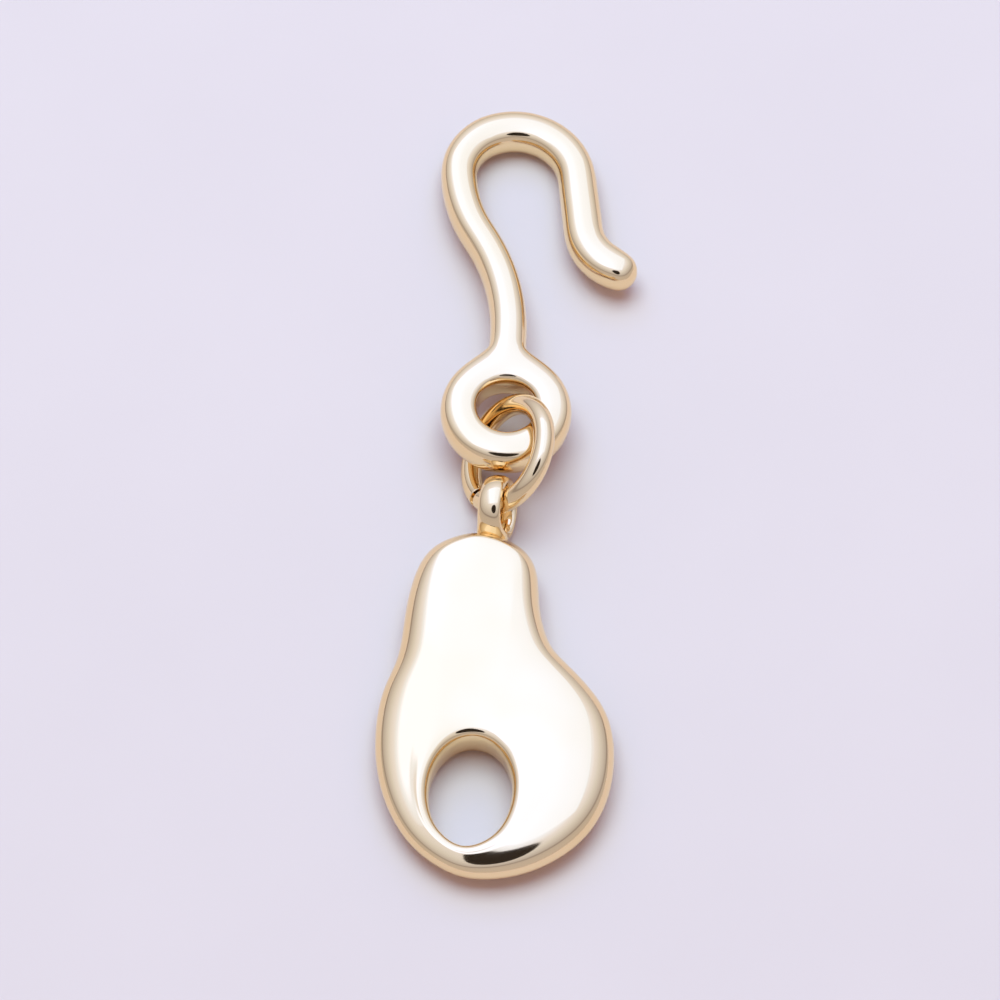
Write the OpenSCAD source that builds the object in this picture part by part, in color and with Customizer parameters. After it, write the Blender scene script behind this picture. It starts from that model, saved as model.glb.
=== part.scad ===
// Hook and eye clasp in polished gold-plated metal, lying on a table: a cast hook whose bar
// ends in a flat ring, a cut jump ring, and a pear-shaped eye plate with a cast bail.
// Millimetres. X runs across, Y along the clasp towards the hook's bow, Z up.
// The origin is the bottom centre of the box round the whole clasp.

/* [Hook bar] */
// Width of the hook's stem, seen from above
bar_w = 2.2; // [1.8:0.05:2.5]
// Thickness of the hook's bar and ring
bar_h = 2.3; // [1.9:0.05:2.6]
// Straight stem between the ring and the sway
stem_len = 1.15; // [0.5:0.05:2]
// Radius of the stem's sway out to the left
sway_r = 12.7; // [10:0.1:16]
// Radius of the sway back to the bow
return_r = 8.8; // [7:0.1:12]
// Radius of the bow on its stem side
bow_near_r = 3.2; // [2.8:0.05:3.6]
// Radius of the bow on its tip side
bow_far_r = 3.75; // [3.2:0.05:4.4]
// Straight run down from the bow
drop_len = 3.85; // [2.5:0.05:5]
// Radius of the flick that turns the tip outwards
flick_r = 3.2; // [2.4:0.1:4]
// Straight run into the rounded tip
tip_len = 0.75; // [0.3:0.05:1.5]

/* [Hook ring] */
// Outer diameter of the hook's ring
ring_od = 7.8; // [7.3:0.1:8.6]
// Hole through the hook's ring
ring_hole = 3.55; // [3.3:0.05:4]

/* [Jump ring] */
// Diameter of the jump ring's wire
wire_d = 1.25; // [1:0.05:1.3]
// Outer diameter of the jump ring
jump_od = 7.5; // [7.4:0.1:8.2]
// Width of the cut in the jump ring
cut_w = 0.25; // [0.1:0.05:0.6]

/* [Eye plate] */
// Length of the plate, without its bail
plate_l = 21.5; // [19:0.5:25]
// Greatest width of the plate
plate_w = 13.9; // [12.5:0.1:16]
// Thickness of the plate at its crown
plate_h = 3.1; // [2.5:0.1:3.5]
// Width of the rounded edge where the plate is broadest
plate_edge = 2.4; // [1.8:0.1:2.9]
// Width of the oval eye
eye_w = 5.2; // [4.8:0.1:5.8]
// Length of the oval eye
eye_l = 7; // [6:0.1:7.6]
// Radius of the soft lip round the eye
eye_lip = 0.35; // [0.2:0.05:0.5]

/* [Bail] */
// Outer diameter of the bail's loop
bail_od = 4.05; // [3.95:0.05:4.4]
// Thickness of the bail's strap
bail_t = 0.6; // [0.5:0.05:0.65]
// Width of the bail's strap
bail_w = 1.35; // [1.1:0.05:1.45]

/* [Hidden] */

gold = [0.93, 0.76, 0.48];

// Squareness of the bar's section: 2 is an ellipse, more has flatter faces
bar_power = 3;
// Points round the bar's section, and the longest step along the bar
section_points = 28;
station_l = 0.57;

ring_bar = (ring_od - ring_hole) / 2;
ring_mid_r = (ring_od - ring_bar) / 2;

// The route of the bar from the middle of the ring's rim: length, turn to the left in
// degrees, and width at the end of the run as a share of bar_w
LENGTH = 0;
TURN = 1;
WIDTH = 2;
function straight(length, width) = [length, 0, width];
function bend(radius, turn, width) = [radius * abs(turn) * PI / 180, turn, width];
// Heading of the stem where it leaves the ring, from the X axis, and its width share there
stem_heading = 86.5;
stem_start_share = 1.4;
// Share of the stem that flares into the ring
root_share = 0.35;
bar_route = [
    straight(ring_bar / 2, 1.13),
    straight(stem_len * root_share, 1.02),
    straight(stem_len * (1 - root_share), 1),
    bend(sway_r, 34.1, 0.97),
    bend(return_r, -28.7, 1),
    bend(bow_near_r, -69.3, 1.025),
    bend(bow_far_r, -106.7, 1.05),
    straight(drop_len, 1.09),
    bend(flick_r, 51.9, 1.12),
    straight(tip_len, 1.03),
];

// Outline of the plate about its eye, anticlockwise from the bail: across as a share of
// plate_w from the middle, along as a share of plate_l from the wide end, and the width of
// the rounded edge as a share of plate_edge
ACROSS = 0;
ALONG = 1;
EDGE = 2;
plate_outline = [
    [-0.035, 1, 0.5],
    [-0.15, 0.986, 0.5],
    [-0.27, 0.937, 0.5],
    [-0.35, 0.845, 0.52],
    [-0.383, 0.744, 0.6],
    [-0.411, 0.639, 0.75],
    [-0.47, 0.54, 0.92],
    [-0.5, 0.4, 1],
    [-0.468, 0.25, 1],
    [-0.364, 0.116, 0.95],
    [-0.2, 0.021, 0.85],
    [-0.053, 0, 0.8],
    [0.15, 0.026, 0.85],
    [0.36, 0.112, 0.95],
    [0.475, 0.242, 1],
    [0.497, 0.385, 1],
    [0.442, 0.508, 0.95],
    [0.312, 0.614, 0.8],
    [0.23, 0.683, 0.62],
    [0.19, 0.787, 0.54],
    [0.176, 0.882, 0.5],
    [0.1, 0.95, 0.5],
];
// Samples of the curve between two points of the outline
outline_samples = 3;
// Middle of the eye, as shares of the plate's width and length
eye_across_share = -0.098;
eye_along_share = 0.222;
// Turn of the eye's long axis, its far end to the right
eye_turn = 4.7;
// Rise of the crown inside the rounded edge, as a share of half the thickness, and the
// width over which it rises as a share of plate_w
crown_rise_share = 0.08;
crown_reach_share = 0.4;
// Where the plate's sections are cut between the eye and the outline, as shares
radial_shares = [0.12, 0.25, 0.4, 0.55, 0.68, 0.79, 0.88, 0.945, 0.985];

// Steps along a route: [chord, turn, width share at its end]
function route_steps(rows) = [
    for (i = [0 : len(rows) - 1])
        let (
            row = rows[i],
            before = i == 0 ? stem_start_share : rows[i - 1][WIDTH],
            count = ceil(row[LENGTH] / station_l),
            turn = row[TURN] / count,
            run = row[LENGTH] / count,
            chord = turn == 0 ? run : run * sin(abs(turn) / 2) / (abs(turn) * PI / 360)
        )
        for (j = [1 : count])
            [chord, turn, before + (row[WIDTH] - before) * j / count]
];

// Stations along a route: [place, heading, width share]
function walk(steps, place, heading, share, i = 0) =
    i == len(steps)
    ? [[place, heading, share]]
    : let (toward = heading + steps[i][TURN] / 2)
      concat(
          [[place, heading, share]],
          walk(steps, place + steps[i][LENGTH] * [cos(toward), sin(toward)],
               heading + steps[i][TURN], steps[i][WIDTH], i + 1)
      );

// Closed section with rounded shoulders, w wide and h high
function section(w, h, power) = [
    for (i = [0 : section_points - 1])
        let (t = 360 * (i + 0.5) / section_points, c = cos(t), s = sin(t))
        [w / 2 * sign(c) * pow(abs(c), 2 / power), h / 2 * sign(s) * pow(abs(s), 2 / power)]
];

// A section stood across the route at a station
function stand(points, place, heading) = [
    for (p = points) [place[0] + p[0] * sin(heading), place[1] - p[0] * cos(heading), p[1]]
];

// Faces of a skin over rings of n points each, closed at both ends
function skin_faces(rings, n) = concat(
    [[for (i = [n - 1 : -1 : 0]) i]],
    [
        for (k = [0 : rings - 2], i = [0 : n - 1])
            let (a = k * n + i, b = k * n + (i + 1) % n)
            each [[a, b, a + n], [b, b + n, a + n]]
    ],
    [[for (i = [0 : n - 1]) (rings - 1) * n + i]]
);

// The bar, from the ring's rim to the rounded tip, about the middle of the ring
bar_stations = walk(route_steps(bar_route), [0, ring_mid_r], stem_heading, stem_start_share);
bar_end = bar_stations[len(bar_stations) - 1];
bar_end_w = bar_w * bar_end[2];
// Where the rounded tip's sections are cut, and the squareness of its end
tip_angles = [18, 34, 48, 60, 70, 78, 84];
tip_power = 2.25;
// The stem's first sections, inside the ring, are a little thinner than the ring
root_sections = 3;
root_thin_share = 0.985;
bar_rings = concat(
    [
        for (i = [0 : len(bar_stations) - 1])
            let (s = bar_stations[i], h = bar_h * (i < root_sections ? root_thin_share : 1))
            stand(section(bar_w * s[2], h, bar_power), s[0], s[1])
    ],
    [
        for (a = tip_angles)
            let (
                reach = bar_end_w / 2 * sin(a),
                size = pow(1 - pow(sin(a), tip_power), 1 / tip_power),
                place = bar_end[0] + reach * [cos(bar_end[1]), sin(bar_end[1])]
            )
            stand(section(bar_end_w * size, bar_h * size, bar_power), place, bar_end[1])
    ]
);
bar_points = [for (r = bar_rings) each r];

module bar() {
    polyhedron(points = bar_points, faces = skin_faces(len(bar_rings), section_points));
}

module flat_ring() {
    rotate_extrude($fn = 96)
        translate([ring_mid_r, 0])
            polygon(section(ring_bar, bar_h, bar_power));
}

// A smooth closed curve through the outline's points
function closed_curve(rows) = [
    for (i = [0 : len(rows) - 1], j = [0 : outline_samples - 1])
        let (
            n = len(rows),
            a = rows[(i + n - 1) % n], b = rows[i], c = rows[(i + 1) % n], d = rows[(i + 2) % n],
            t = j / outline_samples
        )
        b + t * (c - a) / 2 + t * t * (a - 2.5 * b + 2 * c - d / 2)
        + t * t * t * (1.5 * (b - c) + (d - a) / 2)
];
plate_rim = [
    for (row = closed_curve(plate_outline))
        [row[ACROSS] * plate_w, row[ALONG] * plate_l, row[EDGE] * plate_edge]
];
eye_mid = [eye_across_share * plate_w, eye_along_share * plate_l];

// Distance from p to the segment between a and b
function segment_distance(p, a, b) =
    let (along = b - a, t = max(0, min(1, (p - a) * along / (along * along))))
    norm(p - a - t * along);
function flat2(p) = [p[0], p[1]];
// Nearness to the rim: [distance, edge width there]
function rim_distances(p) = [
    for (i = [0 : len(plate_rim) - 1])
        let (a = plate_rim[i], b = plate_rim[(i + 1) % len(plate_rim)])
        [segment_distance(p, flat2(a), flat2(b)), (a[2] + b[2]) / 2]
];
same_distance = 0.001;
function round_over(t) = t >= 1 ? 1 : sqrt(max(0, 1 - (1 - t) * (1 - t)));
// Height of the plate's face above its middle, at p
function face_height(p) =
    let (
        near = rim_distances(p),
        d = min([for (n = near) n[0]]),
        rise = max([for (n = near) n[0] <= d + same_distance ? round_over(d / n[1]) : 0]),
        crown = round_over(d / (crown_reach_share * plate_w))
    )
    plate_h / 2 * (rise * (1 - crown_rise_share) + crown_rise_share * crown);

function eye_radius(angle) =
    let (a = angle + eye_turn)
    1 / sqrt(pow(cos(a) / (eye_w / 2), 2) + pow(sin(a) / (eye_l / 2), 2));

// One section of the plate, from the eye's wall over the face to the rim and back below
lip_angles = [15, 45, 75];
function plate_section(rim) =
    let (
        away = flat2(rim) - eye_mid,
        angle = atan2(away[1], away[0]),
        dir = away / norm(away),
        wall = eye_mid + eye_radius(angle) * dir,
        lip_end = wall + eye_lip * dir,
        outer = flat2(rim),
        lip = [
            for (a = lip_angles)
                let (p = wall + eye_lip * (1 - cos(a)) * dir)
                [p[0], p[1], face_height(p) - eye_lip * (1 - sin(a))]
        ],
        face = [
            for (s = radial_shares)
                let (p = lip_end + s * (outer - lip_end))
                [p[0], p[1], face_height(p)]
        ],
        top = concat(lip, face)
    )
    concat(
        top,
        [[outer[0], outer[1], 0]],
        [for (i = [len(top) - 1 : -1 : 0]) [top[i][0], top[i][1], -top[i][2]]]
    );
plate_sections = [for (rim = plate_rim) plate_section(rim)];
plate_points = [for (s = plate_sections) each s];
section_size = len(plate_sections[0]);

module pillow() {
    count = len(plate_sections);
    polyhedron(
        points = plate_points,
        faces = [
            for (k = [0 : count - 1], i = [0 : section_size - 1])
                let (
                    a = k * section_size + i,
                    b = k * section_size + (i + 1) % section_size,
                    c = ((k + 1) % count) * section_size + i,
                    d = ((k + 1) % count) * section_size + (i + 1) % section_size
                )
                each [[a, c, b], [b, c, d]]
        ]
    );
}

// The jump ring leans with its right side up, as far as the rim between its two sides makes
// it, and its far side is a little low. Its middle is the origin while the pieces are laid out.
jump_mid_r = (jump_od - wire_d) / 2;
// How far the rim's rounded edges let the wire nest, and how far apart the wire's two
// sides cross the rim, as a share of the jump ring's mean radius
rim_nest = 0.3;
rim_reach_share = 1.43;
jump_lean = asin((bar_h + wire_d - rim_nest) / (rim_reach_share * jump_mid_r));
// Fall of the jump ring's far side, in degrees
jump_dip_deg = 2;
jump_z = wire_d / 2
    + jump_mid_r * sqrt(pow(sin(jump_lean), 2) + pow(cos(jump_lean) * sin(jump_dip_deg), 2));
// A point of its wire, at an angle round it
function wire_place(angle) = [0, 0, jump_z] + jump_mid_r * (
    cos(angle) * [cos(jump_lean), 0, sin(jump_lean)]
    + sin(angle) * [sin(jump_lean) * sin(jump_dip_deg), cos(jump_dip_deg), -cos(jump_lean) * sin(jump_dip_deg)]
);

// The bail's loop stands on edge, leans with its top to the left, is turned a little towards
// the wire, and is sunk into the plate's narrow end. Its middle is the plate's own origin.
bail_mid_r = (bail_od - bail_t) / 2;
bail_power = 2.4;
bail_lean = 13;
bail_turn = 10;
bail_inset = 0.25;
// Where the bail is across the plate, as a share of its width
bail_across_share = 0.004;
// Height of the bail's middle above its foot
bail_foot = max([
    for (p = section(bail_t, bail_w, bail_power)) p[0] * cos(bail_lean) + p[1] * sin(bail_lean)
]) + bail_mid_r * cos(bail_lean);
plate_place = [-bail_across_share * plate_w, bail_inset - bail_od / 2 - plate_l, 0];

// The bail hangs at this angle round the jump ring, a share of its free room off the wire
bail_at = 253;
wire_pull_share = 0.25;
bail_room = bail_od / 2 - bail_t - wire_d / 2;
bail_xy = wire_place(bail_at) - [0, wire_pull_share * bail_room, 0];

// Turned about Y by roll, then about X by pitch
function turned(p, pitch, roll) =
    let (x = p[0] * cos(roll) + p[2] * sin(roll), z = p[2] * cos(roll) - p[0] * sin(roll))
    [x, p[1] * cos(pitch) - z * sin(pitch), p[1] * sin(pitch) + z * cos(pitch)];
function values(points, axis) = [for (p = points) p[axis]];

// The plate is on the table at its wide end and at the foot of its bail
plate_roll = -1;
// How far down the plate it meets the table, as a share of its length
plate_rest_share = 0.95;
plate_pitch = asin((bail_foot - plate_h / 2) / (plate_l * plate_rest_share));
plate_lie = [for (p = plate_points) turned(p + plate_place, plate_pitch, plate_roll)];
plate_at = [bail_xy[0], bail_xy[1], max(bail_foot, -min(values(plate_lie, 2)))];

// The hook's rim is inside the jump ring, just beyond the bail, and its bow is on the table
rim_gap = 0.08;
// The ring's middle against the jump ring's: how far it is below it, and to its right
rim_drop = 0.25;
rim_across = -0.1;
hook_roll = 1.5;
bow_y = max(values(bar_points, 1)) - bar_w / 2;
hook_pitch = -asin((jump_z - rim_drop - bar_h / 2) / bow_y);
hook_lie = [for (p = bar_points) turned(p, hook_pitch, hook_roll)];
hook_at = [
    rim_across,
    bail_xy[1] + bail_od / 2 + rim_gap + ring_od / 2,
    -min(values(hook_lie, 2))
];

// Middle of the whole clasp, from above: this becomes the origin
middle = [
    (min(values(plate_lie, 0)) + plate_at[0] + max(values(hook_lie, 0)) + hook_at[0]) / 2,
    (min(values(plate_lie, 1)) + plate_at[1] + max(values(hook_lie, 1)) + hook_at[1]) / 2,
    0
];

module hook() {
    color(gold) translate(hook_at - middle)
        rotate([hook_pitch, 0, 0]) rotate([0, hook_roll, 0]) {
            bar();
            flat_ring();
        }
}

module jump_ring() {
    cut_angle = cut_w / jump_mid_r * 180 / PI;
    cut_at = 209;
    color(gold) translate([0, 0, jump_z] - middle)
        rotate([0, -jump_lean, 0]) rotate([-jump_dip_deg, 0, 0]) rotate([0, 0, cut_at + cut_angle / 2])
            rotate_extrude(angle = 360 - cut_angle, $fn = 96)
                translate([jump_mid_r, 0])
                    circle(d = wire_d, $fn = 32);
}

module bail() {
    rotate([0, 0, -bail_turn]) rotate([0, 90 - bail_lean, 0])
        rotate_extrude($fn = 64)
            translate([bail_mid_r, 0])
                polygon(section(bail_t, bail_w, bail_power));
}

module eye_plate() {
    color(gold) translate(plate_at - middle)
        rotate([plate_pitch, 0, 0]) rotate([0, plate_roll, 0]) {
            translate(plate_place)
                pillow();
            bail();
        }
}

hook();
jump_ring();
eye_plate();
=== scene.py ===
# %% [markdown]
# # Hook and eye clasp, in polished gold plate
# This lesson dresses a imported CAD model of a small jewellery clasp. The clasp has three
# separate pieces of metal: a cast hook whose bar ends in a flat ring, a cut jump ring of round
# wire, and a pear-shaped eye plate with a cast bail. The CAD solids already have the right
# sizes and places, so every piece here is made in the same frame, in metres, and stands for
# the solid of the same name.

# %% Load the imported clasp
import math

import bmesh
import bpy
from mathutils import Matrix, Vector


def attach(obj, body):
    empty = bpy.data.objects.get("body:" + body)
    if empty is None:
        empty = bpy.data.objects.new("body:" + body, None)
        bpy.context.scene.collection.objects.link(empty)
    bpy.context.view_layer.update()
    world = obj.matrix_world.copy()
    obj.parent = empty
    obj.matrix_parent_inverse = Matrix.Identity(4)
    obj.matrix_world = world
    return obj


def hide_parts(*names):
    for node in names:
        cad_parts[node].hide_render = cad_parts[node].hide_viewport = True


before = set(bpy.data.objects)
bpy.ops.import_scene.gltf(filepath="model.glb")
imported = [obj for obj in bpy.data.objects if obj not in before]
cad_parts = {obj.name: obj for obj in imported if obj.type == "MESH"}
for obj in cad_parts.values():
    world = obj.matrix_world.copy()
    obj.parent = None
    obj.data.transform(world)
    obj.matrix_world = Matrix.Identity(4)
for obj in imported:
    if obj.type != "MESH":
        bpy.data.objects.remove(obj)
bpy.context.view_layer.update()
bpy.ops.object.select_all(action="DESELECT")
print("solids of the clasp:", sorted(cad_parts))

# %% [markdown]
# ## Small helpers
# The clasp is measured in millimetres and Blender works in metres. In edit mode an operator
# acts on what is selected, so most steps first select vertices or faces by their place. The
# helpers below do that. The others name a piece, lay it down, finish it and measure it.

# %% Millimetres, and selecting by place
MM = 0.001
MERGE = 1e-7          # metres: vertices as near as this are one
CUBIC_MM = 1e-9


def live(piece):
    """The mesh of a piece as it stands in edit mode."""
    return bmesh.from_edit_mesh(piece.data)


def pick(piece, test, kind="VERT"):
    """Select the vertices or faces of piece that pass the test, in edit mode."""
    bpy.ops.mesh.select_all(action="DESELECT")
    bpy.ops.mesh.select_mode(type=kind)
    shell = live(piece)
    for part in shell.verts if kind == "VERT" else shell.faces:
        part.select_set(bool(test(part)))
    shell.select_flush_mode()
    bmesh.update_edit_mesh(piece.data)


def turn(angle, axis, about):
    """Turn the selection by the right-hand rule: with no window the operator turns backwards."""
    bpy.ops.transform.rotate(value=-angle, orient_axis=axis, center_override=about)


# %% Starting and finishing a piece
def name_it(name):
    """Name the piece that was just begun, and shape it in edit mode from here on."""
    piece = bpy.context.object
    piece.name = name
    piece.data.name = name
    if bpy.context.mode != "EDIT_MESH":
        bpy.ops.object.mode_set(mode="EDIT")
    return piece


def settle(piece, place):
    """Leave edit mode, lay the piece in its place, and keep that place in its mesh."""
    bpy.ops.object.mode_set(mode="OBJECT")
    bpy.ops.object.select_all(action="DESELECT")
    piece.select_set(True)
    bpy.context.view_layer.objects.active = piece
    bpy.ops.object.transform_apply(location=True, rotation=True, scale=True)
    piece.matrix_world = place
    bpy.ops.object.transform_apply(location=True, rotation=True, scale=True)


def apply(piece, kind, **settings):
    """Add a modifier with these settings and apply it."""
    bpy.ops.object.select_all(action="DESELECT")
    piece.select_set(True)
    bpy.context.view_layer.objects.active = piece
    modifier = piece.modifiers.new(kind.title(), kind)
    for key, value in settings.items():
        setattr(modifier, key, value)
    bpy.ops.object.modifier_apply(modifier=modifier.name)


def report(piece):
    """Print the size of a piece, and whether its skin is closed."""
    shell = bmesh.new()
    shell.from_mesh(piece.data)
    open_edges = sum(1 for e in shell.edges if len(e.link_faces) != 2)
    volume = shell.calc_volume(signed=True) / CUBIC_MM
    shell.free()
    xs, ys, zs = zip(*(v.co / MM for v in piece.data.vertices))
    print(
        f"{piece.name}: x {min(xs):.3f} {max(xs):.3f}, y {min(ys):.3f} {max(ys):.3f}, "
        f"z {min(zs):.3f} {max(zs):.3f} mm, {len(piece.data.polygons)} faces, "
        f"{open_edges} open edges, {volume:.1f} cubic mm"
    )


# %% [markdown]
# ## How much a smoothed cage shrinks
# The castings have soft, flowing forms without one hard edge. A Subdivision Surface over a
# light cage gives that: reflections run over it without a kink, and few loops have to be
# placed. A smoothed cage pulls in at its bends, so each loop is set a little outside of where
# the metal should be. A vertex of a smoothed loop ends at four sixths of itself and one sixth
# of each of its two neighbours.

# %% Cages that land on the real size
LEVELS = 3
CORNER_CUT = 0.235    # how far the bar's corners are cut, as a share of its side
ROUND_CUT = 0.293     # the cut that makes a section round
ROUNDS = 40           # how often a closed loop is corrected until its curve fits


def ring_hold(steps):
    """Radius of a smoothed ring of so many steps, against its cage."""
    return (4 + 2 * math.cos(2 * math.pi / steps)) / 6


def held_out(point, before, after):
    """Cage point of a row, set outside of the point by what the smoothing takes away."""
    return point + (2 * point - before - after) / 6


def outset(loop):
    """Cage points whose smoothed closed curve goes through the points of loop."""
    cage = [p.copy() for p in loop]
    total = len(loop)
    for _ in range(ROUNDS):
        cage = [
            cage[i] + loop[i] - (cage[i - 1] + 4 * cage[i] + cage[(i + 1) % total]) / 6
            for i in range(total)
        ]
    return cage


def flat_hold(cut):
    """Half width of a smoothed section whose corners are cut, against its cage."""
    return 1 - cut / 12


def add_section(width, height, location, heading, cut):
    """Stand a plane of this size across its heading, and cut its corners, in edit mode."""
    turned = (math.pi / 2, 0, heading - math.pi / 2)
    bpy.ops.mesh.primitive_plane_add(size=1, location=location, rotation=turned)
    if bpy.context.mode != "EDIT_MESH":
        bpy.ops.object.transform_apply(location=True, rotation=True, scale=True)
        bpy.ops.object.mode_set(mode="EDIT")
    bpy.ops.mesh.bevel(affect="VERTICES", offset_type="PERCENT", offset_pct=100 * cut)
    bpy.ops.transform.resize(
        value=(width / flat_hold(cut), width / flat_hold(cut), height / flat_hold(cut)),
        center_override=location,
    )


print(f"a smoothed ring of ten steps keeps {ring_hold(10):.3f} of its cage's radius")

# %% [markdown]
# ## The hook's ring
# The hook is one casting. Its ring is a flat doughnut with a squarish, well-rounded section.
# It could be cut from a cylinder and bevelled, but a spun section keeps the loops running
# round the ring, where the stem can grow out of them. A plane is stood on edge at the middle
# of the rim, its corners are bevelled off, and its outline is spun ten steps round the ring's
# axis. A hole is polished less than an outside, so the section's corners at the hole are
# pulled out first, which leaves them sharper.

# %% Spin the hook's ring
bar_w = 2.2 * MM
bar_h = 2.3 * MM
ring_od = 7.8 * MM
ring_hole = 3.42 * MM
RING_STEPS = 10
TIGHTER = 1.34         # how much further out the hole's corners stand
HOLE_SIDE = 0.4        # share of the bar's width that parts the hole's wall from its corners

ring_bar = (ring_od - ring_hole) / 2
ring_mid = (ring_od - ring_bar) / 2
hold = ring_hold(RING_STEPS)
add_section(ring_bar / hold, bar_h, (ring_mid / hold, 0, 0), math.pi / 2, CORNER_CUT)
hook = name_it("gold_hook")
bpy.ops.mesh.delete(type="ONLY_FACE")
middle, side = ring_mid / hold, ring_bar / hold    # of the section, as it stands in the cage
pick(hook, lambda v: v.co.x < middle - HOLE_SIDE * side)
bpy.ops.transform.resize(value=(1, 1, TIGHTER), center_override=(middle, 0, 0))
pick(hook, lambda v: middle - HOLE_SIDE * side < v.co.x < middle)
bpy.ops.transform.resize(value=(TIGHTER, 1, 1), center_override=(middle, 0, 0))
bpy.ops.mesh.select_all(action="SELECT")
bpy.ops.mesh.spin(steps=RING_STEPS, angle=2 * math.pi, center=(0, 0, 0), axis=(0, 0, 1))
bpy.ops.mesh.select_all(action="SELECT")
bpy.ops.mesh.remove_doubles(threshold=MERGE)
print("ring cage:", len(live(hook).verts), "vertices before the stem")

# %% [markdown]
# ## The route of the bar
# From above, the bar leaves the ring as a straight stem, sways out to the left and back, goes
# round the bow in two radii, drops, and flicks out at the tip. Each run below is a length, a
# turn to the left and the bar's width at its end, as a share of 2.2 mm. Walking along the runs
# in short steps gives the places where the bar's section will stand.

# %% Walk along the bar
STEM_HEADING = math.radians(86.5)
STEP = 0.95 * MM          # at most this far from one section to the next
ROOT_REACH = 0.38 * MM    # from the ring's bar to the stem's first section
ROOT_SHARE = 1.03         # the stem's width at its root, as a share of the bar's


def straight(length, share):
    """A straight run of so many millimetres."""
    return length * MM, 0, share


def bend(radius, degrees, share):
    """A run round an arc of this radius in millimetres, to the left if degrees is positive."""
    return radius * MM * abs(math.radians(degrees)), math.radians(degrees), share


runs = [
    straight(0.72, 1.0),
    bend(12.7, 34.1, 0.97),
    bend(8.8, -28.7, 1),
    bend(3.2, -69.3, 1.1),
    bend(3.75, -106.7, 1.06),
    straight(3.75, 1.09),
    bend(3.2, 51.9, 1.12),
    straight(0.75, 1.03),
]
stem_lead = ring_bar / 2 + ROOT_REACH
stem_way = Vector((math.cos(STEM_HEADING), math.sin(STEM_HEADING), 0))
place = Vector((0, ring_mid, 0)) + stem_lead * stem_way
heading = STEM_HEADING
share = ROOT_SHARE
stations = [(place, heading, share)]
for length, swing, end_share in runs:
    strides = math.ceil(length / STEP)
    part_swing = swing / strides
    chord = length / strides
    if swing:
        chord *= math.sin(abs(part_swing) / 2) / (abs(part_swing) / 2)
    for stride in range(strides):
        way = heading + part_swing / 2
        place = place + chord * Vector((math.cos(way), math.sin(way), 0))
        heading += part_swing
        share += (end_share - share) / (strides - stride)
        stations.append((place, heading, share))
print(len(stations), "stations, the last at", [round(v / MM, 2) for v in place])

# %% [markdown]
# ## Growing the bar
# The bar could be a curve with a bevel, but its width changes along the way, and it has to grow
# out of the ring's mesh. So a second section stands at the start of the stem, and is extruded
# from station to station: each time it moves, turns to the new heading and takes the new
# width. The tip is three more loops that shrink like the end of an egg.

# %% Extrude the bar to its tip
def advance(start, end, widen, lift=1):
    """Extrude the section from one station to the next, and turn and resize it there."""
    bpy.ops.mesh.extrude_region_move(TRANSFORM_OT_translate={"value": end[0] - start[0]})
    turn(end[1] - start[1], "Z", end[0])
    bpy.ops.transform.resize(value=(widen, widen, lift), center_override=end[0])


first = stations[0]
add_section(bar_w * first[2], bar_h, first[0], first[1], CORNER_CUT)
route = [station[0] for station in stations]
bends = [held_out(p, a, b) for p, a, b in zip(route[1:], route, route[2:])]
cage_route = [route[0]] + bends + [route[-1]]
steps = [(spot, station[1], station[2]) for spot, station in zip(cage_route, stations)]
for before, after in zip(steps, steps[1:]):
    advance(before, after, after[2] / before[2])
furthest = max((a - b).length for a, b in zip(route, cage_route))
print(f"the bar's cage lies up to {furthest / MM:.3f} mm outside of its route")

# %% Round the tip
TIP_LOOPS = (28, 55, 80)    # degrees round the egg's end, at which its loops stand
last = steps[-1]
forward = Vector((math.cos(last[1]), math.sin(last[1]), 0))
tip_half = bar_w * last[2] / 2
before, size = last, 1
for degrees in TIP_LOOPS:
    way = math.radians(degrees)
    after = (last[0] + math.sin(way) * tip_half * forward, last[1], last[2])
    advance(before, after, math.cos(way) / size, math.cos(way) / size)
    before, size = after, math.cos(way)
print(f"the tip reaches {(before[0] - last[0]).length / MM:.2f} mm past the last station")

# %% [markdown]
# ## Bar and ring in one
# On the real hook the stem flows out of the ring, with small fillets. The three faces of the
# ring that look at the stem are deleted, and so is the stem's own first face. That leaves two
# open loops of eight vertices each, so the bridge between them is clean, and the smoothing
# makes the fillets. A Boolean would leave a sharp line there.

# %% Bridge the stem to the ring
CORNER_AT = 0.5        # the ring's corners stand this share of the way out to its rim
STEM_BEGINS = 1.1      # the stem's first face stands within this share of the ring's radius
corner_radius = (ring_mid + CORNER_AT * ring_bar / 2) / hold
column = math.pi / RING_STEPS


def is_between(face):
    """Whether a face is the stem's first, or one of the ring's that look at it."""
    centre = face.calc_center_median()
    angle = math.atan2(centre.y, centre.x)
    radius = math.hypot(centre.x, centre.y)
    in_column = abs(angle - math.pi / 2) < column / 2
    return in_column and corner_radius < radius < ring_od / 2 * STEM_BEGINS


pick(hook, is_between, "FACE")
print("faces between ring and stem:", sum(f.select for f in live(hook).faces))
bpy.ops.mesh.delete(type="FACE")
bpy.ops.mesh.select_mode(type="EDGE")
bpy.ops.mesh.select_all(action="DESELECT")
bpy.ops.mesh.select_non_manifold(extend=False)
print("open edges to bridge:", sum(e.select for e in live(hook).edges))
bpy.ops.mesh.bridge_edge_loops()
bpy.ops.mesh.select_mode(type="VERT")
bpy.ops.mesh.select_all(action="SELECT")
bpy.ops.mesh.normals_make_consistent(inside=False)

# %% [markdown]
# ## Laying the hook down
# The hook was made flat, round the middle of its ring. The CAD model lies as a real clasp lies
# on a table, with the hook's ring held up by the jump ring and its bow on the paper. The same
# place and lean are given here, and then the cage is smoothed and kept.

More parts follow.
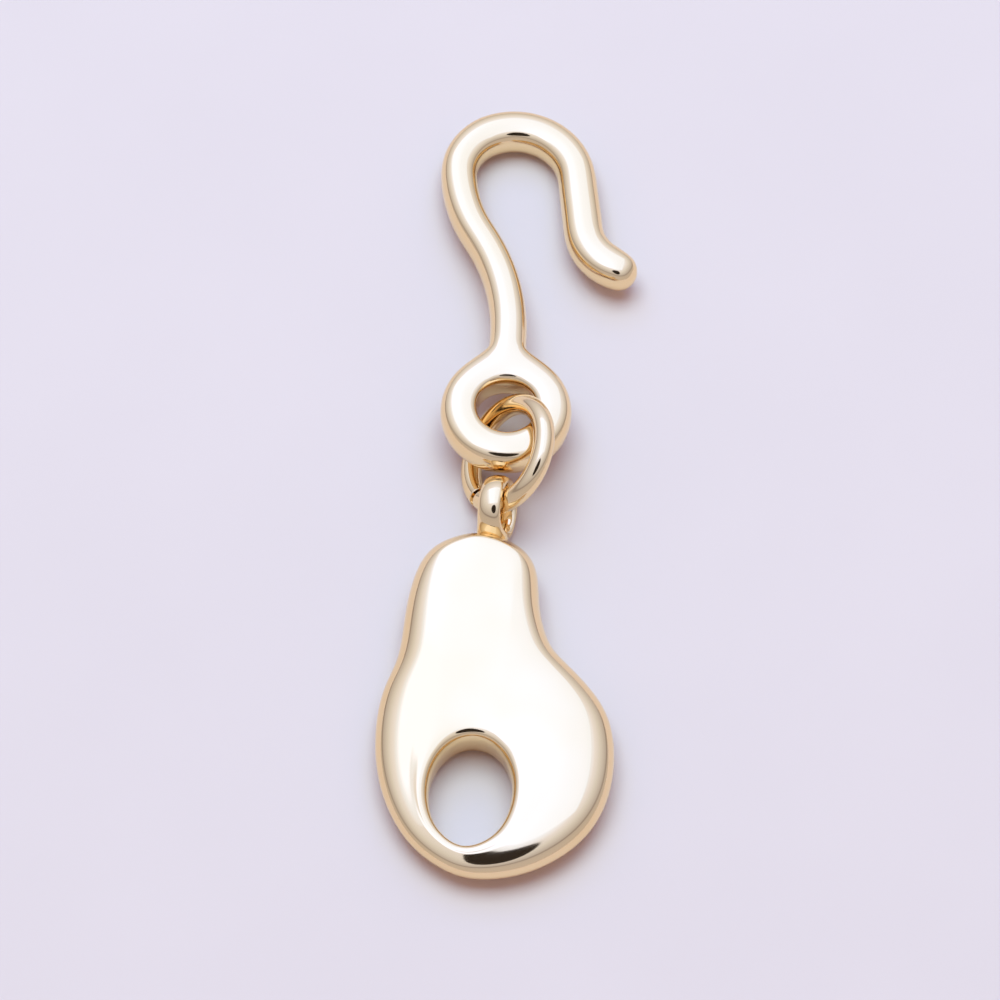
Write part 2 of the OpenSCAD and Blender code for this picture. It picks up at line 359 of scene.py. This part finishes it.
# %% Smooth the hook and lay it down
hook_place = (
    Matrix.Translation(Vector((-0.19055, 4.18317, 2.69117)) * MM)
    @ Matrix.Rotation(math.radians(-4.33117), 4, "X")
    @ Matrix.Rotation(math.radians(1.5), 4, "Y")
)
settle(hook, hook_place)
apply(hook, "SUBSURF", levels=LEVELS, render_levels=LEVELS)
bpy.ops.object.shade_smooth()
report(hook)

# %% [markdown]
# ## The jump ring
# It is a length of round wire, wound to a circle and sawn through, so its two ends face each
# other across a narrow cut. A curve with a round bevel could be that wire, but a spun circle
# keeps the flat end faces, which get the tiny bevel that tumbling gives a cut end. It needs no
# cage, because so many short steps already look round. Then it leans where the CAD's lies.

# %% Spin the wire
wire_d = 1.25 * MM
jump_od = 7.497 * MM
cut_w = 0.3 * MM
CUT_AT = math.radians(218)
WIRE_SIDES = 40
WIRE_STEPS = 168
TUMBLED = 0.045 * MM         # how far the cut ends are rounded
FLAT_END = math.radians(35)  # edges sharper than this stay crisp

jump_mid = (jump_od - wire_d) / 2
cut_angle = cut_w / jump_mid
bpy.ops.mesh.primitive_circle_add(
    vertices=WIRE_SIDES, radius=wire_d / 2, fill_type="NGON",
    location=(jump_mid, 0, 0), rotation=(math.pi / 2, 0, 0),
)
jump_ring = name_it("gold_jump_ring")
bpy.ops.mesh.spin(
    steps=WIRE_STEPS, angle=2 * math.pi - cut_angle, center=(0, 0, 0), axis=(0, 0, 1)
)
bpy.ops.mesh.select_all(action="SELECT")
bpy.ops.mesh.normals_make_consistent(inside=False)
pick(jump_ring, lambda f: len(f.verts) == WIRE_SIDES, "FACE")
print("cut faces of the wire:", sum(f.select for f in live(jump_ring).faces))
bpy.ops.mesh.bevel(offset=TUMBLED, segments=3, affect="EDGES")

# %% Lay the jump ring through the hook's ring
jump_place = (
    Matrix.Translation(Vector((-0.09055, 1.3648, 2.89896)) * MM)
    @ Matrix.Rotation(math.radians(-46.6582), 4, "Y")
    @ Matrix.Rotation(math.radians(-2), 4, "X")
    @ Matrix.Rotation(CUT_AT + cut_angle / 2, 4, "Z")
)
settle(jump_ring, jump_place)
bpy.ops.object.shade_smooth_by_angle(angle=FLAT_END)
report(jump_ring)

# %% [markdown]
# ## The eye plate's outline
# The plate is a pillow of metal, pear-shaped from above, with an oval eye low on its left.
# Its rim starts as a circle of 22 vertices, and each vertex is pulled to its place on the
# outline, which is how one would trace a shape by hand. The three values of a row are how far
# across and along the plate the point lies, and how wide the rounded edge is there.

# %% Trace the rim
plate_l = 21.5 * MM
plate_w = 13.9 * MM
plate_h = 3.1 * MM
plate_edge = 2.4 * MM
eye_w = 4.8 * MM
eye_l = 6.46 * MM
EYE_TURN = math.radians(-4.7)
EYE_ACROSS, EYE_ALONG = -0.101, 0.2398   # its middle, as shares of the plate's two sizes

outline = [
    (-0.035, 1.002, 0.5), (-0.158, 0.997, 0.53), (-0.283, 0.95, 0.6), (-0.354, 0.85, 0.68),
    (-0.383, 0.744, 0.74), (-0.411, 0.639, 0.83), (-0.47, 0.54, 0.93), (-0.5, 0.4, 1),
    (-0.468, 0.25, 1), (-0.364, 0.116, 0.95), (-0.212, 0.033, 0.85), (-0.06, 0.005, 0.8),
    (0.15, 0.026, 0.85), (0.36, 0.112, 0.95), (0.475, 0.242, 1), (0.497, 0.385, 1),
    (0.442, 0.508, 0.95), (0.312, 0.614, 0.8), (0.23, 0.683, 0.62), (0.19, 0.787, 0.54),
    (0.178, 0.887, 0.5), (0.108, 0.962, 0.5),
]
rim = [Vector((a * plate_w, b * plate_l, 0)) for a, b, _ in outline]
rounding = [c * plate_edge for _, _, c in outline]
count = len(rim)
eye_mid = Vector((EYE_ACROSS * plate_w, EYE_ALONG * plate_l, 0))

# Directions that point from the rim into the plate, at right angles to the outline
inward = []
for i in range(count):
    along = (rim[(i + 1) % count] - rim[i - 1]).normalized()
    inward.append(Vector((-along.y, along.x, 0)))
print("points traced round the plate:", count)

# %% Add the rim's circle
bpy.ops.mesh.primitive_circle_add(vertices=count, radius=plate_w / 2, location=(0, 0, 0))
eye_plate = name_it("gold_eye_plate")


def move_loop(piece, before, after):
    """Move each vertex of the selected loop from its old place to its new one."""
    for old, new in zip(before, after):
        pick(piece, lambda v: v.tag and (v.co - old).length < MERGE)
        bpy.ops.transform.translate(value=new - old)


def tag_selected(piece):
    """Mark the selected vertices, so that later selections choose among them alone."""
    for v in live(piece).verts:
        v.tag = v.select


bpy.ops.mesh.select_all(action="SELECT")
tag_selected(eye_plate)
circle = [v.co.copy() for v in live(eye_plate).verts]
print("rim circle:", len(circle), "vertices")

# %% [markdown]
# ## Rows from the rim to the eye
# The plate's upper half is made row by row. Each row is extruded from the one before and its
# vertices are moved in: first round the edge, then over the gentle crown, and last down into
# the eye. The eye's point for a column lies roughly in the direction of its rim point, so the
# columns run straight and nothing twists. Sizes that change round the plate change slowly,
# because a sudden change would show as a crease in the polish.

# %% Face each rim point with a point of the eye
STRAIGHT = 0.72        # 1 points each column at the eye's middle, 0 spaces them evenly


def eye_point(angle, reach):
    """Point of the eye's oval, widened by reach."""
    return eye_mid + Matrix.Rotation(EYE_TURN, 3, "Z") @ Vector(
        ((eye_w / 2 + reach) * math.cos(angle), (eye_l / 2 + reach) * math.sin(angle), 0)
    )


def soften(values):
    """Even out values that follow each other round the plate."""
    total = len(values)
    return [(values[i - 1] + 2 * values[i] + values[(i + 1) % total]) / 4 for i in range(total)]


turns = []
for i, point in enumerate(rim):
    toward = point - eye_mid
    angle = math.atan2(toward.y / eye_l, toward.x / eye_w) - EYE_TURN
    even = math.pi / 2 + 2 * math.pi * i / count
    while angle < even - math.pi:
        angle += 2 * math.pi
    turns.append(STRAIGHT * angle + (1 - STRAIGHT) * even)
room = [(eye_point(a, 0) - p).length for a, p in zip(turns, rim)]
print("metal beside the eye:", [round(r / MM, 1) for r in room], "mm")

# %% [markdown]
# ## The section of the plate
# At the sides the edge is a quarter of an oval, 2.4 mm wide, that runs into the crown. Below
# the eye there is only a narrow bridge of metal: it rises from the rim in a tight roll, leans
# back in a flat bevel, which shows the camera as a black flash, and is highest beside the eye.
# Each row is a share of the way in and a share of the height, and the two kinds of section are
# blended from column to column. The eye's lip is a rounded edge too. It is tighter at the far
# end, whose wall stands upright and mirrors the shaded paper below.

# %% Work out the rows
half = plate_h / 2
THINNING = 1.75 * MM      # metal of this width has about two thirds of the full thickness
BRIDGE_FROM = 2.3 * MM    # metal beside the eye that is narrower turns into the bridge
BRIDGE_OVER = 0.7 * MM    # and when it is so much narrower, it is all bridge
EDGE_SHARE = 0.58         # widest edge, as a share of the metal's width
LIP_SHARE = 0.26          # widest lip, as a share of the metal's width
LIP = 0.6 * MM            # width of the lip at the eye's sides
FAR_LIP = 0.65 * MM       # and how much wider it is at the far end
FAR_SPREAD = 3            # the higher, the less of the eye counts as its far end
DROP = 0.02               # share of the height by which a wide crown falls to its two sides
CROWN_REACH = 4.5 * MM    # how wide the crown is for that

# Shares of the way in, or of the way out of the eye's wall, and shares of the height
side_edge = [(0, 0), (0.134, 0.5), (0.5, 0.875), (1, 1)]
bridge_edge = [(0, 0), (0.05, 0.38), (0.26, 0.68), (0.68, 0.93)]
lip_arc = [(1, 1), (0.42, 0.92), (0.07, 0.62), (0, 0)]
far_lip_arc = [(1, 1), (0.38, 0.93), (0.045, 0.76), (0, 0)]

bridge = soften(soften([max(0, min(1, (BRIDGE_FROM - r) / BRIDGE_OVER)) for r in room]))
thick = soften(soften([half * (1 - math.exp(-r / THINNING)) for r in room]))
edge = soften(soften([min(e, EDGE_SHARE * r) for e, r in zip(rounding, room)]))
far = [max(0, math.sin(a)) ** FAR_SPREAD for a in turns]
lip = soften([min(LIP + FAR_LIP * f, LIP_SHARE * r) for f, r in zip(far, room)])
crown = soften([
    DROP * min(1, max(0, r - e - l) / CROWN_REACH) for r, e, l in zip(room, edge, lip)
])
print(f"half thickness: {min(thick) / MM:.2f} mm at the bridge, {max(thick) / MM:.2f} mm at most")

# %% Rows of the edge
edge_rows = []
for (side_in, side_up), (bridge_in, bridge_up) in zip(side_edge, bridge_edge):
    row = []
    for i in range(count):
        b = bridge[i]
        way_in = (1 - b) * side_in + b * bridge_in
        up = (1 - b) * (1 - crown[i]) * side_up + b * bridge_up
        row.append(rim[i] + way_in * edge[i] * inward[i] + Vector((0, 0, up * thick[i])))
    edge_rows.append(row)
print("rows of the edge:", len(edge_rows))

# %% Rows of the eye's lip
lip_rows = []
for (side_way, side_up), (far_way, far_up) in zip(lip_arc, far_lip_arc):
    row = []
    for i in range(count):
        way = (1 - far[i]) * side_way + far[i] * far_way
        up = (1 - far[i]) * side_up + far[i] * far_up
        height = up * (1 - crown[i]) * thick[i]
        row.append(eye_point(turns[i], way * lip[i]) + Vector((0, 0, height)))
    lip_rows.append(row)
print("rows of the lip and the wall:", len(lip_rows))

# %% Rows of the crown, between edge and lip
CROWN_ROWS = [(0.36, 0.977), (0.7, 0.995)]   # share of the way, and height over the bridge
crown_rows = []
for blend, bridge_up in CROWN_ROWS:
    row = [a.lerp(b, blend) for a, b in zip(edge_rows[-1], lip_rows[0])]
    crown_rows.append([
        Vector((p.x, p.y, t * (1 - b + b * bridge_up))) for p, t, b in zip(row, thick, bridge)
    ])
rows = edge_rows + crown_rows + lip_rows
print("rows from the rim to the middle of the eye's wall:", len(rows))

# %% Set the cage outside of the surface
mirrored = Vector((1, 1, -1))
cage_rows = []
for j, row in enumerate(rows):
    below = rows[j - 1] if j else [p * mirrored for p in rows[1]]
    above = rows[j + 1] if j + 1 < len(rows) else [p * mirrored for p in rows[-2]]
    cage_rows.append(outset([held_out(p, a, b) for p, a, b in zip(row, below, above)]))
furthest = max((a - b).length for a, b in zip(rows[0], cage_rows[0]))
print(f"the rim's cage lies up to {furthest / MM:.2f} mm outside of the rim")

# %% Extrude and place the rows
move_loop(eye_plate, circle, cage_rows[0])
for before, after in zip(cage_rows, cage_rows[1:]):
    pick(eye_plate, lambda v: v.tag)
    bpy.ops.mesh.select_mode(type="EDGE")
    bpy.ops.mesh.extrude_edges_move()
    bpy.ops.mesh.select_mode(type="VERT")
    tag_selected(eye_plate)
    move_loop(eye_plate, before, after)
print("upper half:", len(live(eye_plate).verts), "vertices")

# %% [markdown]
# ## Both faces of the plate
# The underside isn't seen in the picture. A casting like this is the same on both faces, so
# the upper half is mirrored through the plate's middle, and the two halves are merged at the
# rim and in the eye.

# %% Mirror and smooth the plate
bpy.ops.object.mode_set(mode="OBJECT")
apply(
    eye_plate, "MIRROR",
    use_axis=(False, False, True), use_clip=True, use_mirror_merge=True,
    merge_threshold=0.001 * MM,
)
bpy.ops.object.mode_set(mode="EDIT")
bpy.ops.mesh.select_all(action="SELECT")
bpy.ops.mesh.normals_make_consistent(inside=False)
to_bail = Matrix.Translation(Vector((-0.0556, -23.275, 0)) * MM)   # bail's middle at the origin
settle(eye_plate, to_bail)
apply(eye_plate, "SUBSURF", levels=LEVELS, render_levels=LEVELS)
report(eye_plate)

# %% [markdown]
# ## The bail
# The bail is a small loop of strap that stands on edge at the plate's narrow end, cast in one
# with it. It is spun like the hook's ring, its foot swells where it runs into the plate,
# and it is leaned and turned. Bridging it to the rim would need matching loops on both, so a
# Boolean union makes one skin of the two, with nothing left inside.

# %% Spin the bail
bail_od = 4.05 * MM
bail_t = 0.62 * MM
bail_w = 1.38 * MM
BAIL_STEPS = 16
SAME_WAY = 0.99        # cosine: vertices as nearly in one direction are of one section
FOOT = ((-5, 1.12), (-4, 1.45), (-3, 1.12))   # steps round the bail, and how thick it is there

bail_mid = (bail_od - bail_t) / 2
bail_hold = ring_hold(BAIL_STEPS)
add_section(bail_t / bail_hold, bail_w, (bail_mid / bail_hold, 0, 0), math.pi / 2, ROUND_CUT)
bail = name_it("bail")
bpy.ops.mesh.delete(type="ONLY_FACE")
bpy.ops.mesh.select_all(action="SELECT")
bpy.ops.mesh.spin(steps=BAIL_STEPS, angle=2 * math.pi, center=(0, 0, 0), axis=(0, 0, 1))
bpy.ops.mesh.select_all(action="SELECT")
bpy.ops.mesh.remove_doubles(threshold=MERGE)
bpy.ops.mesh.normals_make_consistent(inside=False)
for step, swell in FOOT:
    angle = 2 * math.pi * step / BAIL_STEPS
    way = Vector((math.cos(angle), math.sin(angle), 0))
    pick(bail, lambda v: math.hypot(v.co.x, v.co.y) * SAME_WAY < way.dot(v.co))
    bpy.ops.transform.resize(
        value=(swell, swell, swell), center_override=way * bail_mid / bail_hold
    )
print("bail cage:", len(live(bail).verts), "vertices")

# %% Join the bail to the plate
bail_place = (
    Matrix.Translation(Vector((0.1, 0, 0)) * MM)
    @ Matrix.Rotation(math.radians(-10), 4, "Z")
    @ Matrix.Rotation(math.radians(77), 4, "Y")
)
settle(bail, bail_place)
apply(bail, "SUBSURF", levels=LEVELS, render_levels=LEVELS)
apply(eye_plate, "BOOLEAN", operation="UNION", object=bail, solver="EXACT")
bpy.data.objects.remove(bail)
print("plate and bail in one:", len(eye_plate.data.vertices), "vertices")

# %% Lay the plate down
PLATE_SMOOTH = math.radians(30)   # sharper lines, as where the bail enters, stay crisp
plate_place = (
    Matrix.Translation(Vector((-0.79349, -1.82183, 2.025)) * MM)
    @ Matrix.Rotation(math.radians(1.33258), 4, "X")
    @ Matrix.Rotation(math.radians(-1), 4, "Y")
)
eye_plate.matrix_world = plate_place
bpy.ops.object.transform_apply(location=True, rotation=True, scale=True)
bpy.ops.object.shade_smooth_by_angle(angle=PLATE_SMOOTH)
report(eye_plate)

# %% [markdown]
# ## Polished gold plate
# The metal is brass, polished to a mirror and plated with a pale gold. To the eye that is a
# metal with almost no roughness, whose colour is all in its reflections: cream where it shows
# a lamp, tan where it shows the paper, and deep orange where gold is reflected in gold. Hand
# polishing leaves faint waves about two millimetres wide, and a slight change in the shine.
# One flat colour would look like plastic, so a soft noise changes tone and shine together, in
# patches of about seven millimetres, and a finer one feeds a Bump node for the waves.

# %% Colours and nodes
def linear(hex_colour):
    """A colour that is written as sRGB hex, as Blender's linear values."""
    channels = [int(hex_colour[i:i + 2], 16) / 255 for i in (0, 2, 4)]
    return [c / 12.92 if c <= 0.04045 else ((c + 0.055) / 1.055) ** 2.4 for c in channels] + [1]


def add_node(tree, kind, links=None, **settings):
    """Add a node, give its properties and sockets their values, and link its inputs."""
    node = tree.nodes.new(kind)
    for key, value in settings.items():
        if key in node.inputs:
            node.inputs[key].default_value = value
        else:
            setattr(node, key, value)
    for socket, source in (links or {}).items():
        tree.links.new(source, node.inputs[socket])
    return node


# %% The gold finish
TONE_SIZE = 7.143 * MM    # how wide the patches of tone and shine are
WAVE_SIZE = 2.222 * MM    # how wide the waves of the polish are
WAVE_DEPTH = 0.1 * MM
WAVE_SHARE = 0.03         # the share of that depth that the polish has left
POLISH_VARIES = 0.15      # how much rougher or smoother than the mean a patch is


def gold_plate(name, warm_hex, pale_hex, roughness):
    """Polished pale gold plate.

    Gives the eye a mirror that warms what it shows, with edges of reflections that waver a
    little, as hand-polished metal does.
    """
    finish = bpy.data.materials.new(name)
    finish.use_nodes = True
    tree = finish.node_tree
    tree.nodes.clear()
    where = add_node(tree, "ShaderNodeTexCoord")
    # The pieces lie round the origin, so the pattern is centred as it is
    centred = add_node(tree, "ShaderNodeMapping", {"Vector": where.outputs["Object"]})
    tone = add_node(
        tree, "ShaderNodeTexNoise", {"Vector": centred.outputs["Vector"]},
        Scale=1 / TONE_SIZE, Detail=2.0,
    )
    colour = add_node(tree, "ShaderNodeValToRGB", {"Fac": tone.outputs["Fac"]})
    warm, pale = colour.color_ramp.elements
    warm.position, warm.color = 0.35, linear(warm_hex)
    pale.position, pale.color = 0.65, linear(pale_hex)
    shine = add_node(
        tree, "ShaderNodeMapRange", {"Value": tone.outputs["Fac"]},
        **{
            "From Min": 0.3, "From Max": 0.7,
            "To Min": roughness * (1 - POLISH_VARIES), "To Max": roughness * (1 + POLISH_VARIES),
        },
    )
    waves = add_node(
        tree, "ShaderNodeTexNoise", {"Vector": centred.outputs["Vector"]},
        Scale=1 / WAVE_SIZE, Detail=1.0,
    )
    bump = add_node(
        tree, "ShaderNodeBump", {"Height": waves.outputs["Fac"]},
        Strength=WAVE_SHARE, Distance=WAVE_DEPTH,
    )
    metal = add_node(
        tree, "ShaderNodeBsdfPrincipled",
        {
            "Base Color": colour.outputs["Color"],
            "Roughness": shine.outputs["Result"],
            "Normal": bump.outputs["Normal"],
        },
        Metallic=1.0,
    )
    add_node(tree, "ShaderNodeOutputMaterial", {"Surface": metal.outputs["BSDF"]})
    return finish


# %% Gild the three pieces
MIRROR = 0.07          # roughness of a plate that was polished by hand
polished = gold_plate("polished_pale_gold_plate", "F8DAA6", "FADEAE", MIRROR)
for piece, node, slot in (
    (hook, "hook", "hook_gold"),
    (jump_ring, "jump_ring", "ring_gold"),
    (eye_plate, "eye_plate", "plate_gold"),
):
    piece.data.materials.clear()
    piece.data.materials.append(polished)
    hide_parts(node)
    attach(piece, "root")
    print(piece.name, "stands for", node, "in", polished.name)

# %% [markdown]
# ## The table
# The clasp lies on plain lavender-white paper. A matt sheet that is far bigger than the clasp
# fills the view and also the reflections in the lower sides of the metal. Its two tones are
# almost the same, because paper has soft clouds in it but no pattern.

# %% Lay the paper
PAPER_SIZE = 2400 * MM
CLOUD_SIZE = 16.667 * MM
bpy.ops.mesh.primitive_grid_add(x_subdivisions=8, y_subdivisions=8, size=PAPER_SIZE)
paper = bpy.context.object
paper.name = "paper"
sheet = bpy.data.materials.new("matt_lavender_paper")
sheet.use_nodes = True
tree = sheet.node_tree
tree.nodes.clear()
where = add_node(tree, "ShaderNodeTexCoord")
clouds = add_node(
    tree, "ShaderNodeTexNoise", {"Vector": where.outputs["Object"]},
    Scale=1 / CLOUD_SIZE, Detail=3.0,
)
tint = add_node(tree, "ShaderNodeValToRGB", {"Fac": clouds.outputs["Fac"]})
deeper, paler = tint.color_ramp.elements
deeper.position, deeper.color = 0.3, linear("D3CDD7")
paler.position, paler.color = 0.7, linear("D5CFD9")
matt = add_node(
    tree, "ShaderNodeBsdfPrincipled", {"Base Color": tint.outputs["Color"]}, Roughness=0.9
)
add_node(tree, "ShaderNodeOutputMaterial", {"Surface": matt.outputs["BSDF"]})
paper.data.materials.append(sheet)
print(f"paper: {paper.dimensions.x:.1f} m wide, {sheet.name}")

# %% [markdown]
# ## The camera
# The picture looks down at 65 degrees from the eye plate's end, through a long lens a little
# over a third of a metre away. A long lens keeps the clasp's proportions, because its near end
# is hardly nearer than its far end.

# %% Set up the camera
LOOK_DOWN = math.radians(65)
CAMERA_AWAY = 364 * MM
VIEW_WIDTH = 59.4 * MM
SENSOR = 36            # mm
look_at = Vector((-0.542, -0.280, 0)) * MM
toward_camera = Vector((0, -math.cos(LOOK_DOWN), math.sin(LOOK_DOWN)))

lens = bpy.data.cameras.new("camera")
lens.sensor_width = SENSOR
lens.lens = SENSOR * CAMERA_AWAY / VIEW_WIDTH
lens.clip_start = 10 * MM
camera = bpy.data.objects.new("camera", lens)
bpy.context.scene.collection.objects.link(camera)
camera.location = look_at + CAMERA_AWAY * toward_camera
camera.rotation_euler = (math.pi / 2 - LOOK_DOWN, 0, 0)
bpy.context.scene.camera = camera
print(f"lens: {lens.lens:.0f} mm, aimed {math.degrees(LOOK_DOWN):.0f} degrees down")

# %% [markdown]
# ## The light
# A polished thing shows what stands round it, so the light is built as in the studio: one
# large soft box over and behind the clasp, which fills the upper faces with white; the dark
# patch of the camera itself, which draws the thin black lines; and a grey room. An area light
# would shine too, but a glowing plane can be fainter and warmer towards its sides, as the cloth
# of a real box is, and the gold shows that. The box shines bluish because gold takes the blue
# away again.

# %% Hang the soft box
BOX_AWAY = 600 * MM               # from the clasp to the middle of the box
BOX_BACK = math.radians(23.5)     # how far the box leans behind the clasp
BOX_HALF = math.radians(28.5)     # its reach to the front and the back, seen from the clasp
BOX_LEFT = math.radians(35)       # and its reach to each side
BOX_RIGHT = math.radians(31)

toward_box = Vector((0, math.sin(BOX_BACK), math.cos(BOX_BACK)))
box_size = (
    BOX_AWAY * (math.tan(BOX_LEFT) + math.tan(BOX_RIGHT)),
    2 * BOX_AWAY * math.tan(BOX_HALF),
)
bpy.ops.mesh.primitive_plane_add(size=1)
soft_box = bpy.context.object
soft_box.name = "soft_box"
soft_box.scale = (box_size[0], box_size[1], 1)
soft_box.rotation_euler = (-BOX_BACK, 0, 0)
soft_box.location = BOX_AWAY * toward_box + Vector(
    (BOX_AWAY * (math.tan(BOX_RIGHT) - math.tan(BOX_LEFT)) / 2, 0, 0)
)
soft_box.visible_camera = False
print("soft box:", [round(v / MM) for v in box_size], "mm")

# %% The glow of its cloth
glow = bpy.data.materials.new("soft_box_glow")
glow.use_nodes = True
tree = glow.node_tree
tree.nodes.clear()
where = add_node(tree, "ShaderNodeTexCoord")
sides = add_node(tree, "ShaderNodeSeparateXYZ", {"Vector": where.outputs["Object"]})
across_box = add_node(
    tree, "ShaderNodeMapRange", {"Value": sides.outputs["X"]},
    **{"From Min": -0.5, "From Max": 0.5, "To Min": 0.0, "To Max": 1.0},
)
cloth = add_node(tree, "ShaderNodeValToRGB", {"Fac": across_box.outputs["Result"]})
left_end, right_end = cloth.color_ramp.elements
left_end.position, left_end.color = 0.0, (0.87, 0.98, 1.45, 1)
right_end.position, right_end.color = 1.0, (0.82, 0.95, 1.4, 1)
for across, colour in (
    (0.13, (0.96, 1.2, 1.98, 1)), (0.2, (1.2, 1.45, 2.52, 1)), (0.48, (1.15, 1.42, 2.5, 1)),
    (0.6, (1.045, 1.335, 2.27, 1)), (0.75, (1.035, 1.3, 2.17, 1)), (0.96, (1.0, 1.25, 2.05, 1)),
):
    cloth.color_ramp.elements.new(across).color = colour
shining = add_node(tree, "ShaderNodeEmission", {"Color": cloth.outputs["Color"]}, Strength=1.0)
add_node(tree, "ShaderNodeOutputMaterial", {"Surface": shining.outputs["Emission"]})
soft_box.data.materials.append(glow)
print("stops across the box:", len(cloth.color_ramp.elements))

# %% [markdown]
# ## The paper's own lamp
# The paper would turn blue under the box alone. An area light of a little over half the box's
# size hangs just before its upper half, where it gives the shadows about the right width. The
# gold can't mirror it, and the camera can't see it. Its colour is what the box's light lacks to
# a soft lavender white.

# %% Hang the paper's lamp
LAMP_SHARE = 0.55      # the lamp's size, as a share of the box's
LAMP_UP = 125 * MM     # how far above the box's middle it hangs
LAMP_BEFORE = 10 * MM  # how far before the cloth
LAMP_COLOUR = (0.81, 1.0, 0.71)
LAMP_WATTS = 2.4
lamp = bpy.data.lights.new("paper_lamp", "AREA")
lamp.shape = "RECTANGLE"
lamp.size, lamp.size_y = LAMP_SHARE * box_size[0], LAMP_SHARE * box_size[1]
lamp.color = LAMP_COLOUR
lamp.energy = LAMP_WATTS
paper_lamp = bpy.data.objects.new("paper_lamp", lamp)
bpy.context.scene.collection.objects.link(paper_lamp)
paper_lamp.rotation_euler = soft_box.rotation_euler
up_the_box = Vector((0, -math.cos(BOX_BACK), math.sin(BOX_BACK)))
paper_lamp.location = soft_box.location - LAMP_BEFORE * toward_box + LAMP_UP * up_the_box
paper_lamp.visible_glossy = False
paper_lamp.visible_camera = False
print("paper lamp at", [round(v / MM) for v in paper_lamp.location], "mm")

# %% [markdown]
# ## The camera in the reflections
# The camera stands before the light, and a polished face that leans towards it shows its dark
# front: the black flashes at the far end of the eye, on the bevel and in the bow. A black disc
# on the camera's own axis does the same. It is a little wider than high.

# %% Stand the camera's dark patch
PATCH_HALF = math.radians(14)     # its reach up and down, seen from the clasp
PATCH_WIDER = 1.08                # how much more it reaches to the sides
PATCH_AWAY = 390 * MM
bpy.ops.mesh.primitive_circle_add(
    vertices=48, radius=PATCH_AWAY * math.tan(PATCH_HALF), fill_type="NGON",
    location=look_at + PATCH_AWAY * toward_camera, rotation=(math.pi / 2 - LOOK_DOWN, 0, 0),
)
dark_patch = bpy.context.object
dark_patch.name = "dark_camera_patch"
dark_patch.scale = (PATCH_WIDER, 1, 1)
dark_patch.visible_camera = False
dull = bpy.data.materials.new("black_camera_body")
dull.use_nodes = True
dull.node_tree.nodes["Principled BSDF"].inputs["Base Color"].default_value = linear("141312")
dark_patch.data.materials.append(dull)
print("dark patch:", round(dark_patch.dimensions.y / MM), "mm high")

# %% [markdown]
# ## The room
# The metal's sides mirror the walls, so the room is a ramp from the dim floor line, over a
# darker band, up to the bright ceiling. The paper isn't a mirror: it gathers all of the room at
# once and sees one warm tone, as bounced light in a studio is warm. A Light Path node tells a
# mirrored ray from the others, and picks the ramp for it. That is a choice about the light
# alone: no material of the clasp knows where the camera stands.

# %% Paint the walls
room_light = bpy.data.worlds.new("grey_room")
bpy.context.scene.world = room_light
room_light.use_nodes = True
tree = room_light.node_tree
tree.nodes.clear()
where = add_node(tree, "ShaderNodeTexCoord")
leaned = add_node(tree, "ShaderNodeMapping", {"Vector": where.outputs["Generated"]})
leaned.inputs["Rotation"].default_value = (BOX_BACK, 0, 0)
up_the_room = add_node(tree, "ShaderNodeSeparateXYZ", {"Vector": leaned.outputs["Vector"]})
walls = add_node(tree, "ShaderNodeValToRGB", {"Fac": up_the_room.outputs["Z"]})
floor_line, skirting = walls.color_ramp.elements
floor_line.position, floor_line.color = 0.0, (0.56, 0.55, 0.66, 1)
skirting.position, skirting.color = 0.2, (0.52, 0.52, 0.64, 1)
for height, colour in (
    (0.24, (0.33, 0.32, 0.40, 1)), (0.275, (0.33, 0.32, 0.40, 1)),
    (0.32, (0.50, 0.52, 0.68, 1)), (0.47, (0.61, 0.65, 0.87, 1)), (0.62, (0.72, 0.80, 1.08, 1)),
    (0.80, (0.87, 0.98, 1.45, 1)), (0.885, (0.97, 1.2, 1.98, 1)), (0.93, (1.05, 1.3, 2.2, 1)),
):
    walls.color_ramp.elements.new(height).color = colour
print("stops up the walls:", len(walls.color_ramp.elements))

# %% The warm air for the paper, the walls for the gold
WARM_AIR = (0.67, 0.42, 0.32, 1)
MIX_A, MIX_B, MIXED = 6, 7, 2     # a Mix node's colour sockets, by number: their names repeat
ray = add_node(tree, "ShaderNodeLightPath")
both = add_node(
    tree, "ShaderNodeMix", {"Factor": ray.outputs["Is Glossy Ray"]}, data_type="RGBA"
)
both.inputs[MIX_A].default_value = WARM_AIR
tree.links.new(walls.outputs["Color"], both.inputs[MIX_B])
air = add_node(tree, "ShaderNodeBackground", {"Color": both.outputs[MIXED]})
add_node(tree, "ShaderNodeOutputWorld", {"Surface": air.outputs["Background"]})
bpy.context.scene.view_settings.view_transform = "Standard"
print("world nodes:", len(tree.nodes))
